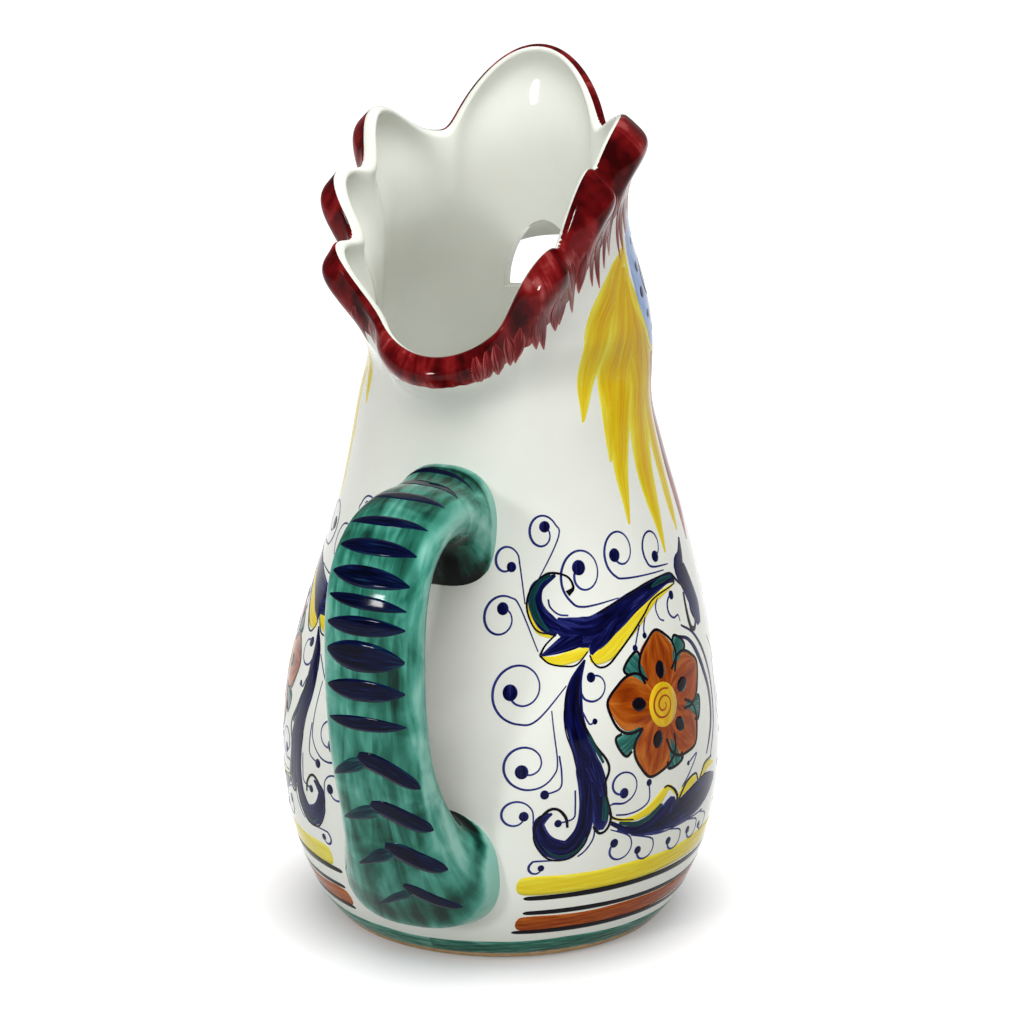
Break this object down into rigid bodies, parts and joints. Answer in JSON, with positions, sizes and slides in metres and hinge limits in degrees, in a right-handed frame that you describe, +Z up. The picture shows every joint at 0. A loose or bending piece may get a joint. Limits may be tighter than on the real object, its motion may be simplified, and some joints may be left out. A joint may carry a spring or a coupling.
{
  "type": "chicken pitcher",
  "caption": "Glazed earthenware pitcher in the form of a hen, with a scalloped comb for a rim, an open beak for a spout and a strap handle down the back.",
  "frame": {"origin": "centre of the foot's flat underside, on the table", "axes": "+Z up, beak towards -Y, handle towards +Y, the hen's left side towards +X"},
  "size_m": [0.1228, 0.1586, 0.2419],
  "materials": {
    "white_glaze": "glossy tin-white glaze over earthenware",
    "red_glaze": "glossy crimson glaze, pooled and brushed",
    "green_glaze": "glossy watery green glaze",
    "yellow_glaze": "glossy yellow glaze",
    "bare_clay": "unglazed fired earthenware on the foot"
  },
  "bodies": {
    "root": {"foot_ring": "bare_clay", "floor_disc": "white_glaze", "belly_wall": "white_glaze", "chest_wall": "white_glaze", "head_wall": "white_glaze", "upper_beak": "yellow_glaze", "lower_beak": "yellow_glaze", "crest": "red_glaze", "left_comb": "red_glaze", "right_comb": "red_glaze", "nape_lip": "red_glaze", "strap_handle": "green_glaze"}
  },
  "joints": []
}
